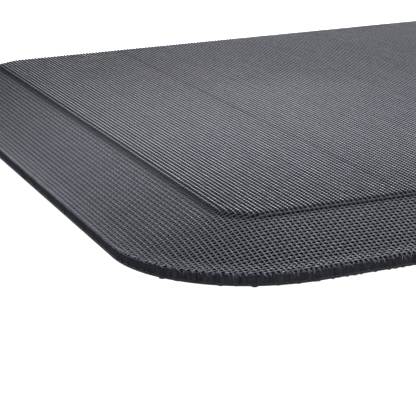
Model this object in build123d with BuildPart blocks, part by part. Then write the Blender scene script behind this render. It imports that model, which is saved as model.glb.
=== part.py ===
from build123d import *
import os

# An anti-fatigue mat: a foam core with a raised platform and a bevelled border, one woven cover
# bonded over its whole top, and a thin rubber backing bonded under it. All sheets are cut off
# together at the outer edge. Millimetres; the origin is on the floor under the mat's centre,
# +X runs along the long side, +Y along the short side and +Z points up.

# Driving dimensions.
length = 762.0  # outside, along X
depth = 457.0  # outside, along Y
thickness = 16.0  # floor to the top of the platform
edge_height = 6.0  # floor to the top of the cut edge
corner_radius = 61.0  # outside corners, seen from above
border_width = 44.0  # cut edge to the platform, on every side
lip_width = 8.0  # nearly flat strip beside the cut edge
lip_rise = 0.5  # how much that strip climbs
shoulder_width = 3.0  # short steep step that ends in the platform
shoulder_rise = 1.6  # how much that step climbs

cover_thickness = 1.0
film_thickness = 0.2
backing_thickness = 1.2

core_bottom = backing_thickness + film_thickness

# The top surface from the cut edge inwards: distance from the outline, and height above the floor.
top_profile = [
    (0.0, edge_height),
    (lip_width, edge_height + lip_rise),
    (border_width - shoulder_width, thickness - shoulder_rise),
    (border_width, thickness),
]


def outline(inset, height):
    """The mat's rounded outline, moved inwards by inset, as a face at the given height."""
    with BuildSketch(Plane.XY.offset(height)) as section:
        RectangleRounded(length - 2 * inset, depth - 2 * inset, corner_radius - inset)
    return section.sketch


def body_under_top(bottom, depth_below_top, mode=Mode.ADD):
    """Add or subtract the solid from a flat bottom up to a surface parallel to the mat's top."""
    sections = [outline(inset, height - depth_below_top) for inset, height in top_profile]
    if bottom < edge_height - depth_below_top:
        sections.insert(0, outline(0.0, bottom))
    loft(sections, ruled=True, mode=mode)


def layer_under_top(depth_below_top, layer_thickness):
    """Add a sheet of even thickness that follows the platform, the border and the lip."""
    bottom = edge_height - depth_below_top - layer_thickness
    body_under_top(bottom, depth_below_top)
    body_under_top(bottom, depth_below_top + layer_thickness, mode=Mode.SUBTRACT)


def flat_sheet(bottom, sheet_thickness):
    """Add a flat sheet with the mat's outline."""
    extrude(outline(0.0, bottom), amount=sheet_thickness)


# Woven cover: one sheet over the platform, the border and the lip.
with BuildPart() as woven_cover:
    layer_under_top(0.0, cover_thickness)
woven_cover.part.label = "woven_cover"

# Hot-melt film that bonds the cover to the core.
with BuildPart() as cover_bond_film:
    layer_under_top(cover_thickness, film_thickness)
cover_bond_film.part.label = "cover_bond_film"

# Foam core: one slab whose border is pressed down to a bevel and a thin lip.
with BuildPart() as foam_core:
    body_under_top(core_bottom, cover_thickness + film_thickness)
foam_core.part.label = "foam_core"

# Hot-melt film that bonds the backing to the core.
with BuildPart() as backing_bond_film:
    flat_sheet(backing_thickness, film_thickness)
backing_bond_film.part.label = "backing_bond_film"

# Rubber backing: the non-slip sheet that lies on the floor.
with BuildPart() as backing_sheet:
    flat_sheet(0.0, backing_thickness)
backing_sheet.part.label = "backing_sheet"

os.makedirs("parts", exist_ok=True)
export_step(woven_cover.part, "parts/woven_cover.step")
export_step(cover_bond_film.part, "parts/cover_bond_film.step")
export_step(foam_core.part, "parts/foam_core.step")
export_step(backing_bond_film.part, "parts/backing_bond_film.step")
export_step(backing_sheet.part, "parts/backing_sheet.step")
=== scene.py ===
import math

import bpy
import numpy as np
from mathutils import Matrix, Vector


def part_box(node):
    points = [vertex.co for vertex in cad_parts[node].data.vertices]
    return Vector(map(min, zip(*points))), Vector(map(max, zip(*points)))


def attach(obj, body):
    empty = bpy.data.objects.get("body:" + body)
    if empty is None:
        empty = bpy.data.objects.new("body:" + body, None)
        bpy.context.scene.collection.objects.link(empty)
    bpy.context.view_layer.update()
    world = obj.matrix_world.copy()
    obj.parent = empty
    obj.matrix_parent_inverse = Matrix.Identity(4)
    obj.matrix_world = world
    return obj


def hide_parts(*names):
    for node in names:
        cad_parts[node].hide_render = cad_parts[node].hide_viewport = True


# The mat lies on the floor, its woven cover up. Lengths are millimetres until a mesh is made.

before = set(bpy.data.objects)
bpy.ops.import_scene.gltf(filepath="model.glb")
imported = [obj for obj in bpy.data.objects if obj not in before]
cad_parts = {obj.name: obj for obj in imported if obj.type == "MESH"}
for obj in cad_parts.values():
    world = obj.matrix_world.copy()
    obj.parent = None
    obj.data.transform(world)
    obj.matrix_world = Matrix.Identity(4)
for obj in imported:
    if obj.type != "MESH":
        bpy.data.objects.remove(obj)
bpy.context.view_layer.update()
MM = 0.001

cover_low, cover_high = (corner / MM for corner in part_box("woven_cover"))
core_low, core_high = (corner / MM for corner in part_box("foam_core"))
backing_low, backing_high = (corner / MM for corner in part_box("backing_sheet"))
half_length, half_depth = cover_high.x, cover_high.y

# Shape of the top, as in the CAD model: a raised lip, a sloping border, a crease and the platform.
corner_radius = 61.0
border_width = 44.0
lip_width = 8.0
lip_rise = 0.5
bevel_end_inset, bevel_end_depth = 38.5, 1.9
groove_inset, groove_depth = 42.2, 1.35  # valley where the border meets the platform
platform_rim_depth = 0.15  # the platform's edge is this much below its middle
cover_thickness = 1.0
edge_height = cover_low.z + cover_thickness
profile_inset = (0.0, lip_width, bevel_end_inset, groove_inset, border_width, border_width + 1)
profile_height = (edge_height, edge_height + lip_rise, cover_high.z - bevel_end_depth,
                  cover_high.z - groove_depth, cover_high.z - platform_rim_depth, cover_high.z)
bend_length = 0.6  # how far each bend of the profile is rounded, to either side

# Weave: warp yarns run along Y and weft yarns along X. On the border they take turns on top. On the platform
# the warps are on top of every weft and only ripple, so the two sets do not interlace there.
pitch = 2.08
# A yarn's "stretch" is its long straight part and its "bend" the short part at every other crossing.
# A pair is the value on the border, and how much more it is on the platform.
warp_yarn = dict(
    half_width=0.34, half_height=0.30,
    top_share=0.4,  # of its width, flat on top
    stretch=(0.10, 0.06), bend=(-0.12, 0.24),  # heights
    ripple=0.10,  # height of the wave over every crossing, on the platform
    # Tones are painted light and shade: the crests are painted lighter, on the platform much lighter as a
    # painted sheen.
    stretch_painted_light=(1.0, 1.15), bend_painted_light=(0.8, 1.35),
    between_painted_shade=(0.68, -0.58),  # painted shade halfway between two crossings
    beside_painted_shade=-0.4,  # painted shade added to a bend's tone on the short borders
    crease_shade_tone=0.25,  # painted shade along the crease
)
weft_yarn = dict(
    half_width=0.46, half_height=0.18,
    top_share=0.6,
    stretch=(-0.16, -0.16), bend=(0.14, -0.20),
    ripple=0.0,
    # Tones are painted light and shade: on the platform the weft is painted darker, as painted shade between
    # the warps.
    stretch_painted_light=(0.8, -0.6), bend_painted_light=(1.0, -0.5),
    between_painted_shade=(1.0, 0.0),
    beside_painted_shade=-0.5,
    crease_shade_tone=0.6,
)
weave_middle = 0.44  # depth of the weave's middle plane below the cover's top
ground_depth = 0.95  # depth of the ground cloth below the cover's top
crossing_samples = np.array([-0.5, -0.25, 0.0, 0.25, 0.5, 1.0])  # over two crossings, in pitches from a bend
flank_painted_shade = -0.8  # painted shade at the foot of a yarn, where 1 is its crown; below 0 it is black
# Painted shade on the short borders: crowns painted darker, and the flanks' painted shade made lighter.
beside_top_shade, beside_flank_lift = 0.18, 1.1  # short borders: crowns duller and flanks less dark
crease_shade_middle, crease_shade_reach = 42.3, 2.3  # where the painted shade along the crease lies, and how far to either side
# Painted shade of the ground cloth along the crease.
ground_crease_shade_tone = 0.2
edge_painted_shade = 0.15  # painted shade of a yarn where it is cut
tone_spread = 0.03  # of one yarn against the next
dark_warp = round(-257.5 / pitch)  # one yarn a shade darker than its neighbours
dark_warp_tone = 0.75
warps_per_piece, wefts_per_piece = 46, 28
rng = np.random.default_rng(7)


def inset(x, y):
    """Distance in from the mat's outline."""
    qx = np.abs(x) - (half_length - corner_radius)
    qy = np.abs(y) - (half_depth - corner_radius)
    beyond = np.hypot(np.maximum(qx, 0), np.maximum(qy, 0)) + np.minimum(np.maximum(qx, qy), 0)
    return corner_radius - beyond


def short_border(x, y):
    """1 along the short sides of the mat and 0 along the long ones, blended over the corners."""
    corner_blend = 50
    to_side, to_front = half_length - abs(x), half_depth - abs(y)
    return np.clip((to_front - to_side) / corner_blend + 0.5, 0, 1)


def top_height(d):
    """Height of the cover's top at a distance in from the outline, with its bends rounded."""
    shifts = np.linspace(-bend_length, bend_length, 9)
    return sum(np.interp(d + s, profile_inset, profile_height) for s in shifts) / len(shifts)


def half_span(across, half_across, half_along):
    """How far the outline reaches from the middle, along a line at a distance across it."""
    q = np.clip(abs(across) - (half_across - corner_radius), 0, corner_radius)
    return half_along - corner_radius + math.sqrt(corner_radius**2 - q**2)


def outline_frame(corner_steps, side_step):
    """Points of the rectangle through the corner centres, and the outward direction at each."""
    cx, cy = half_length - corner_radius, half_depth - corner_radius
    corners = ((cx, -cy, -90), (cx, cy, 0), (-cx, cy, 90), (-cx, -cy, 180))
    centres, outward = [], []
    for k, (x, y, start) in enumerate(corners):
        for a in np.radians(np.linspace(start, start + 90, corner_steps, endpoint=False)):
            centres.append((x, y))
            outward.append((math.cos(a), math.sin(a)))
        nx, ny, _ = corners[(k + 1) % 4]
        a = math.radians(start + 90)
        steps = max(1, round(math.hypot(nx - x, ny - y) / side_step))
        for t in np.arange(steps) / steps:
            centres.append((x + (nx - x) * t, y + (ny - y) * t))
            outward.append((math.cos(a), math.sin(a)))
    return np.array(centres), np.array(outward)


def add_tone_and_painted_light(mesh, tone_and_painted_light):
    """Tone of the yarn at each point, with painted light and shade, which its material reads."""
    mesh.attributes.new("tone_and_painted_light", "FLOAT", "POINT").data.foreach_set("value", tone_and_painted_light)


def make_piece(name, points, faces, material, tone_and_painted_light=None):
    mesh = bpy.data.meshes.new(name)
    mesh.from_pydata(np.asarray(points) * MM, [], faces, shade_flat=False)
    if tone_and_painted_light is not None:
        add_tone_and_painted_light(mesh, tone_and_painted_light)
    mesh.materials.append(material)
    mesh.validate()
    piece = bpy.data.objects.new(name, mesh)
    bpy.context.collection.objects.link(piece)
    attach(piece, "root")
    return piece


def ring_faces(rows, count):
    """Quads between closed rings of count points each, with a cap on the first and the last."""
    a = np.arange(count)
    b = (a + 1) % count
    quads = [np.stack([r * count + a, r * count + b, (r + 1) * count + b, (r + 1) * count + a], 1)
             for r in range(rows - 1)]
    faces = np.concatenate(quads).tolist()
    faces.append(list(range(count))[::-1])
    faces.append(list(range((rows - 1) * count, rows * count)))
    return faces


def layer(name, rows, material, corner_steps=48, side_step=4.0, waver=None):
    """A closed layer from rings, each a distance in from the outline and a height."""
    centres, outward = outline_frame(corner_steps, side_step)
    points = []
    for k, (d, z) in enumerate(rows):
        shift = waver(k, len(centres)) if waver else 0.0
        reach = corner_radius - d + shift
        ring = centres + outward * np.reshape(reach, (-1, 1))
        points.append(np.column_stack([ring, np.full(len(ring), z)]))
    return make_piece(name, np.concatenate(points), ring_faces(len(rows), len(centres)), material)


# ---------------------------------------------------------------- materials

def node_material(name):
    material = bpy.data.materials.new(name)
    material.use_nodes = True
    nodes, links = material.node_tree.nodes, material.node_tree.links
    return material, nodes, links, nodes["Principled BSDF"]


def noise(nodes, links, scale, detail, stretch):
    place = nodes.new("ShaderNodeTexCoord")
    fit = nodes.new("ShaderNodeMapping")
    fit.inputs["Scale"].default_value = stretch
    links.new(place.outputs["Object"], fit.inputs["Vector"])
    texture = nodes.new("ShaderNodeTexNoise")
    texture.inputs["Scale"].default_value = scale
    texture.inputs["Detail"].default_value = detail
    links.new(fit.outputs["Vector"], texture.inputs["Vector"])
    return texture.outputs["Fac"]


def ramp(nodes, links, value, low, high, dark, light):
    mix = nodes.new("ShaderNodeValToRGB")
    mix.color_ramp.elements[0].position, mix.color_ramp.elements[1].position = low, high
    mix.color_ramp.elements[0].color = (*dark, 1)
    mix.color_ramp.elements[1].color = (*light, 1)
    links.new(value, mix.inputs["Fac"])
    return mix.outputs["Color"]


def fine_bump(nodes, links, shader, height, strength, distance):
    bump = nodes.new("ShaderNodeBump")
    bump.inputs["Strength"].default_value = strength
    bump.inputs["Distance"].default_value = distance
    links.new(height, bump.inputs["Height"])
    links.new(bump.outputs["Normal"], shader.inputs["Normal"])


def grey(value, blue=1.16):
    """A cool grey, bluer with a higher share of blue."""
    return (value, value * 1.03, value * blue)


def yarn_material(name, dark, light, roughness, gloss, stretch):
    """Coated yarn, grey at its crown and near black between the yarns, both from the painted light and shade
    it carries.
    """
    deepest = 0.03
    material, nodes, links, shader = node_material(name)
    shade = noise(nodes, links, 420, 4, stretch)
    tone_and_painted_light = nodes.new("ShaderNodeAttribute")
    tone_and_painted_light.attribute_name = "tone_and_painted_light"
    dim = nodes.new("ShaderNodeVectorMath")
    dim.operation = "SCALE"
    links.new(ramp(nodes, links, shade, 0.3, 0.72, grey(dark), grey(light)), dim.inputs[0])
    tone = nodes.new("ShaderNodeMapRange")
    tone.inputs["To Min"].default_value = deepest
    tone.clamp = False
    links.new(tone_and_painted_light.outputs["Fac"], tone.inputs["Value"])
    floor = nodes.new("ShaderNodeMath")
    floor.operation = "MAXIMUM"
    floor.inputs[1].default_value = deepest
    links.new(tone.outputs["Result"], floor.inputs[0])
    links.new(floor.outputs["Value"], dim.inputs["Scale"])
    links.new(dim.outputs["Vector"], shader.inputs["Base Color"])
    rough = nodes.new("ShaderNodeMapRange")
    links.new(tone_and_painted_light.outputs["Fac"], rough.inputs["Value"])
    rough.inputs["To Min"].default_value, rough.inputs["To Max"].default_value = 0.95, roughness
    links.new(rough.outputs["Result"], shader.inputs["Roughness"])
    shader.inputs["Specular IOR Level"].default_value = gloss
    fine_bump(nodes, links, shader, noise(nodes, links, 2600, 2, stretch), 0.25, 0.00005)
    return material


def plain_material(name, dark, light, scale, roughness, gloss, bump_scale, bump_height,
                   stretch=(1, 1, 1), blue=1.16):
    """Mottled dark foam, film or rubber."""
    material, nodes, links, shader = node_material(name)
    shade = noise(nodes, links, scale, 4, stretch)
    mottle = ramp(nodes, links, shade, 0.3, 0.7, grey(dark, blue), grey(light, blue))
    links.new(mottle, shader.inputs["Base Color"])
    shader.inputs["Roughness"].default_value = roughness
    shader.inputs["Specular IOR Level"].default_value = gloss
    fine_bump(nodes, links, shader, noise(nodes, links, bump_scale, 4, stretch), 0.7, bump_height)
    return material


warp_material = yarn_material("warp_yarn", 0.20, 0.27, 0.42, 0.4, (1, 0.25, 1))
# The weft is the same yarn as the warp; its darker grey is painted shade.
weft_shaded_material = yarn_material("weft_yarn", 0.17, 0.22, 0.5, 0.3, (0.25, 1, 1))
ground_material = yarn_material("ground_cloth", 0.02, 0.032, 0.9, 0.1, (1, 1, 1))
film_material = plain_material("bond_film", 0.03, 0.05, 500, 0.4, 0.5, 2000, 0.00005)
foam_material = plain_material("core_foam", 0.011, 0.030, 1100, 0.95, 0.05, 1800, 0.0003,
                               stretch=(1, 1, 0.15), blue=1.3)
rubber_material = plain_material("backing_rubber", 0.006, 0.012, 700, 0.6, 0.4, 2500, 0.0001)


# ---------------------------------------------------------------- cover

border_insets = [0.0, 2, 4, 6, 7, 8, 9, 10, 14, 22, 30, 36, 38, 38.5, 39, 40,
                 41, 42, 42.5, 43, 43.5, 44, 44.5, 45, 46, 52]


def border_rows(depth_below, insets):
    """Rings of a surface that follows the cover's top at a depth below it."""
    return [(d, float(top_height(np.array(d))) - depth_below) for d in insets]


def sheet_rows(top_depth, bottom_depth):
    """Rings over a sheet that follows the cover's top, from under its middle to above it."""
    return border_rows(bottom_depth, border_insets[::-1]) + border_rows(top_depth, border_insets)


def painted_crease_shade(d, tone):
    """How light a yarn is at a distance in from the outline, with painted shade along the crease."""
    return 1 - (1 - tone) * np.exp(-((d - crease_shade_middle) / crease_shade_reach) ** 2)


ground = layer("ground_cloth", sheet_rows(ground_depth, cover_thickness), ground_material)
ground_place = np.array([corner.co for corner in ground.data.vertices]) / MM
# The ground cloth carries the painted shade along the crease.
add_tone_and_painted_light(ground.data, painted_crease_shade(inset(ground_place[:, 0], ground_place[:, 1]), ground_crease_shade_tone))
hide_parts("woven_cover")


def yarn(across, half_across, half_along, first, kind, along_y, ends):
    """One yarn: points across and along it with heights, its quads and its tones."""
    span = half_span(across, half_across, half_along)
    turns = np.arange(-int(span / pitch / 2) - 2, int(span / pitch / 2) + 3) * 2 + first
    along = (turns[:, None] + crossing_samples).ravel() * pitch
    along = along[abs(along) < span - 0.4 * pitch]
    along = np.concatenate([[-span - ends[0]], [-span], along, [span], [span + ends[1]]])
    droop = np.zeros(len(along))
    droop[[0, -1]] = -0.35 - 0.5 * ends

    x, y = (across, along) if along_y else (along, across)
    raised = np.interp(inset(x, y), (border_width - 2, border_width + 1), (0, 1))
    beside = short_border(x, y) * (1 - raised)

    def blend(key):
        return kind[key][0] + kind[key][1] * raised

    # At each bend the weft rises and the warp dips: on the border that puts the weft on top.
    bend = np.cos(math.pi * (along / pitch - first) / 2) ** 6
    lift = blend("stretch") + (blend("bend") - blend("stretch")) * bend
    lift += kind["ripple"] * raised * np.cos(2 * math.pi * along / pitch)
    lift[[0, 1, -2, -1]] *= 0.3
    sway = 0.012 * pitch * rng.standard_normal(len(along))
    sway += 0.02 * pitch * np.sin(along / 23 + rng.uniform(0, 2 * math.pi))
    level = rng.normal(0, 0.01) + 0.006 * rng.standard_normal(len(along))

    # Each section has four points: foot, two at the top, foot.
    side = np.array([-1.0, -kind["top_share"], kind["top_share"], 1.0]) * kind["half_width"]
    rise = np.array([-0.9, 1.0, 1.0, -0.9]) * kind["half_height"]
    u = across + sway[:, None] + side
    v = np.repeat(along[:, None], 4, 1)
    w = (lift + level + droop)[:, None] + rise
    a = (np.arange(len(along) - 1)[:, None] * 4 + np.arange(3)).ravel()
    quads = np.stack([a, a + 1, a + 5, a + 4], 1)
    last = 4 * (len(along) - 1)
    caps = [[3, 2, 1, 0], [last, last + 1, last + 2, last + 3]]

    # Painted light and shade along and across each yarn: lighter crests, darker halfway between crossings, on
    # the short borders and down the flanks.
    bend_painted_light = blend("bend_painted_light") + kind["beside_painted_shade"] * beside
    crest_painted_light = blend("stretch_painted_light") + (bend_painted_light - blend("stretch_painted_light")) * bend
    between_shade = blend("between_painted_shade")
    crest_painted_light *= between_shade + (1 - between_shade) * np.cos(math.pi * along / pitch) ** 2
    crest_painted_light *= 1 - beside_top_shade * beside
    flank_shade = flank_painted_shade * (1 - beside_flank_lift * beside)
    top = np.ones(len(along))
    tone_and_painted_light = (crest_painted_light[:, None] * np.stack([flank_shade, top, top, flank_shade], 1)).ravel()
    return np.stack([u, v, w], 2).reshape(-1, 3), np.concatenate([quads, caps]), tone_and_painted_light


def yarn_group(name, indices, half_across, half_along, kind, along_y, material):
    """Neighbouring parallel yarns as one piece."""
    points, faces, tones_and_painted_light, start = [], [], [], 0
    for i in indices:
        ends = rng.uniform(-0.3, 0.4, 2)
        p, q, tone_and_painted_light = yarn(i * pitch, half_across, half_along, float(i % 2 == 0), kind, along_y, ends)
        if along_y:
            q = q[:, ::-1]
        else:
            p = p[:, [1, 0, 2]]
        d = inset(p[:, 0], p[:, 1])
        p[:, 2] += top_height(d) - weave_middle
        tone_and_painted_light *= rng.normal(1, tone_spread) * (dark_warp_tone if along_y and i == dark_warp else 1)
        # Painted shade along the crease and where the yarn is cut at the outline.
        tone_and_painted_light *= painted_crease_shade(d, kind["crease_shade_tone"]) * np.interp(d, (-0.5, 1.2), (edge_painted_shade, 1))
        points.append(p)
        faces.append(q + start)
        tones_and_painted_light.append(tone_and_painted_light)
        start += len(p)
    return make_piece(name, np.concatenate(points), np.concatenate(faces).tolist(), material,
                      np.concatenate(tones_and_painted_light))


def yarn_set(name, half_across, half_along, kind, along_y, material, per_piece):
    last = int(half_across / pitch)
    indices = range(-last, last + 1)
    groups = [indices[k:k + per_piece] for k in range(0, len(indices), per_piece)]
    return [yarn_group(f"{name}_{n}", g, half_across, half_along, kind, along_y, material)
            for n, g in enumerate(groups, 1)]


warp = yarn_set("warp_yarns", half_length, half_depth, warp_yarn, True, warp_material, warps_per_piece)
weft = yarn_set("weft_yarns", half_depth, half_length, weft_yarn, False, weft_shaded_material, wefts_per_piece)


def frayed_ends():
    """Loose fibres where the cut yarns end, splayed and hanging over the foam's edge."""
    longest_warp, longest_weft = 1.9, 0.6
    fibre_starts = (-0.24, 0.0, 0.24)  # across the yarn's end
    sides = 3
    around = np.radians([90, 210, 330])
    points, faces = [], []
    for along_y, half_across, half_along, longest in ((True, half_length, half_depth, longest_warp),
                                                      (False, half_depth, half_length, longest_weft)):
        last = int(half_across / pitch)
        for i, end, start_side in ((i, end, start_side) for i in range(-last, last + 1)
                                   for end in (-1, 1) for start_side in fibre_starts):
            span = half_span(i * pitch, half_across, half_along)
            length = rng.uniform(0.2, 1.0) * longest
            splay = (start_side * rng.uniform(0.2, 3.5) + rng.normal(0, 0.2)) * length / longest
            hang = rng.uniform(0.1, 0.9) * length
            base = len(points)
            stations = ((-0.8, 0.16), (0.0, 0.14), (0.5 * length, 0.11), (length, 0.05))
            for t, radius in stations:
                out = max(t, 0.0) / length
                side = i * pitch + start_side + splay * out**1.5
                forth = end * (span + t)
                z = float(top_height(max(-t, 0.0))) - weave_middle + 0.12 - hang * out**1.6
                for c, h in zip(radius * np.cos(around), radius * np.sin(around)):
                    points.append((side + c, forth, z + h) if along_y else (forth, side + c, z + h))
            for ring in range(len(stations) - 1):
                for k in range(sides):
                    a, b = base + ring * sides + k, base + ring * sides + (k + 1) % sides
                    faces.append((a, b, b + sides, a + sides))
            faces.append((base + 9, base + 10, base + 11))
            faces.append((base + 2, base + 1, base))
    return make_piece("frayed_ends", points, faces, warp_material, np.ones(len(points)))


frays = frayed_ends()

# ---------------------------------------------------------------- film, core and backing

film_thickness = 0.2
cover_film = layer("cover_film", sheet_rows(cover_thickness, cover_thickness + film_thickness),
                   film_material)
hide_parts("cover_bond_film")

core_steps, core_side_step = 200, 0.5  # fine enough for the cut's streaks
core_top_depth = cover_thickness + film_thickness
core_edge_top = edge_height - core_top_depth
wall_rows = 9
wall_heights = np.linspace(core_low.z, core_edge_top, wall_rows)
_, edge_outward = outline_frame(core_steps, core_side_step)
cut_depths = 0.07 * rng.standard_normal(len(edge_outward) + 1)
cut_depths = (cut_depths + np.roll(cut_depths, 1)) * 0.8


def cut_waver(k, count):
    """Uneven cut of the foam's edge: slanted fibrous streaks, rougher on the short sides."""
    if k == 0 or k > wall_rows:
        return 0.0
    streak_slant = 1.6
    position = np.arange(count) + streak_slant * k
    streaks = np.interp(position % count, np.arange(count + 1), cut_depths)
    rough = 0.6 + 1.8 * edge_outward[:, 0] ** 2
    return rough * (streaks + 0.03 * rng.standard_normal(count))


core_rows = [(30.0, core_low.z)] + [(0.0, z) for z in wall_heights]
core_rows += border_rows(core_top_depth, [4, 8, 14, 36, 41, 44.5, 50])
core = layer("foam_slab", core_rows, foam_material, core_steps, core_side_step, cut_waver)
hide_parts("foam_core")

nub_height = 0.45
backing_rows = [(30.0, backing_low.z + nub_height), (0.15, backing_low.z + nub_height),
                (-0.25, backing_low.z + nub_height + 0.12), (-0.25, backing_high.z - 0.15),
                (-0.1, backing_high.z), (30.0, backing_high.z)]
backing = layer("rubber_sheet", backing_rows, rubber_material, 120, 1.0)
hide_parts("backing_sheet")


def grip_nubs():
    """Low round nubs in staggered rows under the backing, and uneven lumps near its rim."""
    spacing = 6.0
    sides = 6
    points, faces = [], []
    angles = np.arange(sides) * 2 * math.pi / sides
    circle = np.column_stack([np.cos(angles), np.sin(angles)])

    def add_nub(x, y, levels):
        """Rings going down, each a radius and a height, with the lowest one closed."""
        start = len(points)
        for radius, z in levels:
            points.extend((x + radius * c, y + radius * s, z) for c, s in circle)
        for k in range(len(levels) - 1):
            for m in range(sides):
                a, b = start + k * sides + m, start + k * sides + (m + 1) % sides
                faces.append((a, a + sides, b + sides, b))
        faces.append([len(points) - sides + m for m in range(sides)][::-1])

    for r, y in enumerate(np.arange(-half_depth + 1, half_depth, spacing * 0.866)):
        for x in np.arange(-half_length + 1 + (r % 2) * spacing / 2, half_length, spacing):
            if inset(x, y) >= 0.9:
                add_nub(x, y, ((1.1, nub_height + 0.05), (0.6, 0.0)))
    rim_inset = 1.5
    rim, outward = outline_frame(12, 8.0)
    rim = rim + outward * (corner_radius - rim_inset) + rng.normal(0, 0.8, rim.shape) * outward[:, ::-1]
    for x, y in rim:
        wide = rng.uniform(1.0, 1.7)
        add_nub(x, y, ((wide, nub_height + 0.3), (wide * 0.9, 0.15), (wide * 0.6, 0.0)))
    return make_piece("grip_nubs", points, faces, rubber_material)


grip_nubs()
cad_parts["backing_bond_film"].material_slots[0].material = film_material

# ---------------------------------------------------------------- stage

scene = bpy.context.scene
scene.view_settings.view_transform = "Standard"
white = (1, 1, 1, 1)


def make_floor():
    """A white floor, which lies a hair under the mat."""
    half_size = 6.0
    gap = 0.00005
    corners = [(x * half_size, y * half_size, 0) for x, y in ((-1, -1), (1, -1), (1, 1), (-1, 1))]
    mesh = bpy.data.meshes.new("floor")
    mesh.from_pydata(corners, [], [(0, 1, 2, 3)])
    floor = bpy.data.objects.new("floor", mesh)
    floor.location.z = -gap
    bpy.context.collection.objects.link(floor)
    material, nodes, links, shader = node_material("floor")
    shader.inputs["Base Color"].default_value = (0.9, 0.9, 0.9, 1)
    shader.inputs["Roughness"].default_value = 0.9
    shader.inputs["Emission Color"].default_value = white
    shader.inputs["Emission Strength"].default_value = 1.0
    # Seen from below the floor is clear, so that the mat's underside can be looked at.
    side = nodes.new("ShaderNodeNewGeometry")
    clear = nodes.new("ShaderNodeBsdfTransparent")
    mix = nodes.new("ShaderNodeMixShader")
    links.new(side.outputs["Backfacing"], mix.inputs["Fac"])
    links.new(shader.outputs["BSDF"], mix.inputs[1])
    links.new(clear.outputs["BSDF"], mix.inputs[2])
    links.new(mix.outputs["Shader"], nodes["Material Output"].inputs["Surface"])
    mesh.materials.append(material)


make_floor()


def area_light(name, place, aim, size, power, colour, spread=180):
    light = bpy.data.lights.new(name, "AREA")
    light.shape = "RECTANGLE"
    light.size, light.size_y = size
    light.energy = power
    light.color = colour
    light.spread = math.radians(spread)
    lamp = bpy.data.objects.new(name, light)
    lamp.location = place
    lamp.rotation_euler = (Vector(aim) - Vector(place)).to_track_quat("-Z", "Y").to_euler()
    lamp.visible_camera = False
    bpy.context.collection.objects.link(lamp)


# Two broad low lights graze the weave, and a small one pools on the platform near the front left corner.
studio_blue = (0.93, 0.95, 1.0)
area_light("low_back", (1.2, 3.0, 0.9), (0, 0, 0), (1.6, 0.4), 54, studio_blue)
area_light("side", (3.0, 0.3, 1.2), (0, 0, 0), (1.6, 0.8), 122, studio_blue)
area_light("pool", (-0.28, 0.02, 0.75), (-0.29, -0.045, 0), (0.2, 0.2), 0.19, studio_blue, 26)

world = bpy.data.worlds.new("studio")
world.use_nodes = True
nodes, links = world.node_tree.nodes, world.node_tree.links
surround = nodes["Background"]
surround.inputs["Color"].default_value = (*studio_blue, 1)
surround.inputs["Strength"].default_value = 0.45
# Beyond the floor the backdrop is white to the eye, though it lights the mat only softly.
backdrop = nodes.new("ShaderNodeBackground")
backdrop.inputs["Color"].default_value = white
seen = nodes.new("ShaderNodeLightPath")
mix = nodes.new("ShaderNodeMixShader")
links.new(seen.outputs["Is Camera Ray"], mix.inputs["Fac"])
links.new(surround.outputs["Background"], mix.inputs[1])
links.new(backdrop.outputs["Background"], mix.inputs[2])
links.new(mix.outputs["Shader"], nodes["World Output"].inputs["Surface"])
scene.world = world

# Camera: low over the front left corner, looking along the mat.
camera_heading, camera_pitch, camera_roll = (math.radians(a) for a in (21.78, 16.49, -1.56))
camera_left, camera_back, camera_up = 104.36, 249.53, 81.9  # from the crease's corner, in pitches
crease = Vector((-half_length + border_width, -half_depth + border_width, cover_high.z)) * MM
camera_place = crease + Vector((-camera_left * pitch * MM, -camera_back * pitch * MM, camera_up * pitch * MM))
camera = bpy.data.cameras.new("camera")
camera.lens = 129.1
camera.clip_start, camera.clip_end = 0.01, 50
camera_object = bpy.data.objects.new("camera", camera)
forward = Vector((math.sin(camera_heading) * math.cos(camera_pitch),
                  math.cos(camera_heading) * math.cos(camera_pitch), -math.sin(camera_pitch)))
right = Vector((math.cos(camera_heading), -math.sin(camera_heading), 0))
up = right.cross(forward)
rolled_right = right * math.cos(camera_roll) + up * math.sin(camera_roll)
rolled_up = up * math.cos(camera_roll) - right * math.sin(camera_roll)
turn = Matrix((rolled_right, rolled_up, -forward)).transposed()
camera_object.matrix_world = Matrix.Translation(camera_place) @ turn.to_4x4()
bpy.context.collection.objects.link(camera_object)
scene.camera = camera_object
